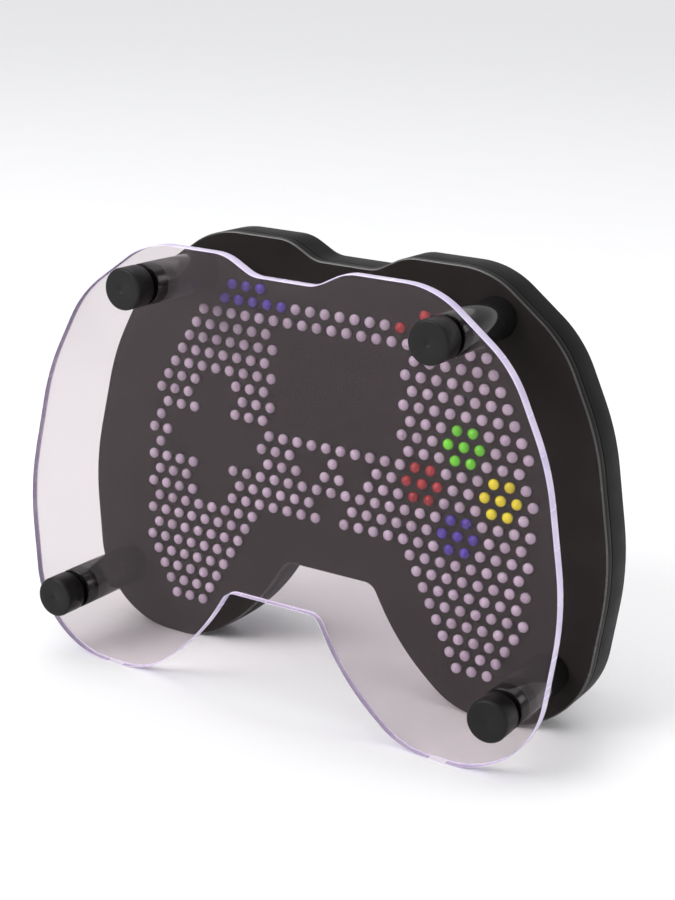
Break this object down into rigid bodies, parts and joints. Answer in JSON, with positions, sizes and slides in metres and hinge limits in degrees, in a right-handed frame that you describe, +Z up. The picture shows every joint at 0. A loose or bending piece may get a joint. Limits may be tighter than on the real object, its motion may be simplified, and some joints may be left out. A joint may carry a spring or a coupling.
{
  "type": "pin impression toy",
  "caption": "Game-controller-shaped pin impression toy: sliding coloured pins in a black perforated block behind a clear window on four posts.",
  "frame": {"origin": "middle of the width and of the overall depth, on the surface that the two grips stand on", "axes": "+Z up, +X to the right seen from the front, the clear window faces -Y"},
  "size_m": [0.1584, 0.0746, 0.1185],
  "materials": {
    "clear_acrylic": "clear polished sheet",
    "black_plate": "satin moulded black",
    "black_knob": "semi-gloss black",
    "rod_steel": "zinc-plated thread",
    "pins_lilac": "glossy moulded plastic",
    "pins_blue": "glossy moulded plastic",
    "pins_red": "glossy moulded plastic",
    "pins_green": "glossy moulded plastic",
    "pins_yellow": "glossy moulded plastic"
  },
  "bodies": {
    "frame": {"front_window": "clear_acrylic", "pin_plate": "black_plate", "rear_housing": "black_plate", "front_knob_upper_left": "black_knob", "front_knob_upper_right": "black_knob", "front_knob_lower_left": "black_knob", "front_knob_lower_right": "black_knob", "spacer_upper_left": "black_knob", "spacer_upper_right": "black_knob", "spacer_lower_left": "black_knob", "spacer_lower_right": "black_knob", "rear_knob_upper_left": "black_knob", "rear_knob_upper_right": "black_knob", "rear_knob_lower_left": "black_knob", "rear_knob_lower_right": "black_knob", "threaded_rods": "rod_steel"},
    "pins_left_bumper": {"pins_left_bumper": "pins_blue"},
    "pins_right_bumper": {"pins_right_bumper": "pins_red"},
    "pins_top_bridge": {"pins_top_bridge": "pins_lilac"},
    "pins_left_shoulder": {"pins_left_shoulder": "pins_lilac"},
    "pins_right_shoulder": {"pins_right_shoulder": "pins_lilac"},
    "pins_left_outer": {"pins_left_outer": "pins_lilac"},
    "pins_left_inner": {"pins_left_inner": "pins_lilac"},
    "pins_centre_bridge": {"pins_centre_bridge": "pins_lilac"},
    "pins_right_inner": {"pins_right_inner": "pins_lilac"},
    "pins_right_outer": {"pins_right_outer": "pins_lilac"},
    "pins_green_button": {"pins_green_button": "pins_green"},
    "pins_red_button": {"pins_red_button": "pins_red"},
    "pins_yellow_button": {"pins_yellow_button": "pins_yellow"},
    "pins_blue_button": {"pins_blue_button": "pins_blue"},
    "pins_left_grip": {"pins_left_grip": "pins_lilac"},
    "pins_right_grip": {"pins_right_grip": "pins_lilac"},
    "pins_left_grip_tip": {"pins_left_grip_tip": "pins_lilac"},
    "pins_right_grip_tip": {"pins_right_grip_tip": "pins_lilac"}
  },
  "joints": [
    {"name": "left_bumper_slide", "type": "slide", "parent": "frame", "child": "pins_left_bumper", "axis": [0, -1, 0], "range_m": [0, 0.025]},
    {"name": "right_bumper_slide", "type": "slide", "parent": "frame", "child": "pins_right_bumper", "axis": [0, -1, 0], "range_m": [0, 0.025]},
    {"name": "top_bridge_slide", "type": "slide", "parent": "frame", "child": "pins_top_bridge", "axis": [0, -1, 0], "range_m": [0, 0.025]},
    {"name": "left_shoulder_slide", "type": "slide", "parent": "frame", "child": "pins_left_shoulder", "axis": [0, -1, 0], "range_m": [0, 0.025]},
    {"name": "right_shoulder_slide", "type": "slide", "parent": "frame", "child": "pins_right_shoulder", "axis": [0, -1, 0], "range_m": [0, 0.025]},
    {"name": "left_outer_slide", "type": "slide", "parent": "frame", "child": "pins_left_outer", "axis": [0, -1, 0], "range_m": [0, 0.025]},
    {"name": "left_inner_slide", "type": "slide", "parent": "frame", "child": "pins_left_inner", "axis": [0, -1, 0], "range_m": [0, 0.025]},
    {"name": "centre_bridge_slide", "type": "slide", "parent": "frame", "child": "pins_centre_bridge", "axis": [0, -1, 0], "range_m": [0, 0.025]},
    {"name": "right_inner_slide", "type": "slide", "parent": "frame", "child": "pins_right_inner", "axis": [0, -1, 0], "range_m": [0, 0.025]},
    {"name": "right_outer_slide", "type": "slide", "parent": "frame", "child": "pins_right_outer", "axis": [0, -1, 0], "range_m": [0, 0.025]},
    {"name": "green_button_slide", "type": "slide", "parent": "frame", "child": "pins_green_button", "axis": [0, -1, 0], "range_m": [0, 0.025]},
    {"name": "red_button_slide", "type": "slide", "parent": "frame", "child": "pins_red_button", "axis": [0, -1, 0], "range_m": [0, 0.025]},
    {"name": "yellow_button_slide", "type": "slide", "parent": "frame", "child": "pins_yellow_button", "axis": [0, -1, 0], "range_m": [0, 0.025]},
    {"name": "blue_button_slide", "type": "slide", "parent": "frame", "child": "pins_blue_button", "axis": [0, -1, 0], "range_m": [0, 0.025]},
    {"name": "left_grip_slide", "type": "slide", "parent": "frame", "child": "pins_left_grip", "axis": [0, -1, 0], "range_m": [0, 0.025]},
    {"name": "right_grip_slide", "type": "slide", "parent": "frame", "child": "pins_right_grip", "axis": [0, -1, 0], "range_m": [0, 0.025]},
    {"name": "left_grip_tip_slide", "type": "slide", "parent": "frame", "child": "pins_left_grip_tip", "axis": [0, -1, 0], "range_m": [0, 0.025]},
    {"name": "right_grip_tip_slide", "type": "slide", "parent": "frame", "child": "pins_right_grip_tip", "axis": [0, -1, 0], "range_m": [0, 0.025]}
  ]
}
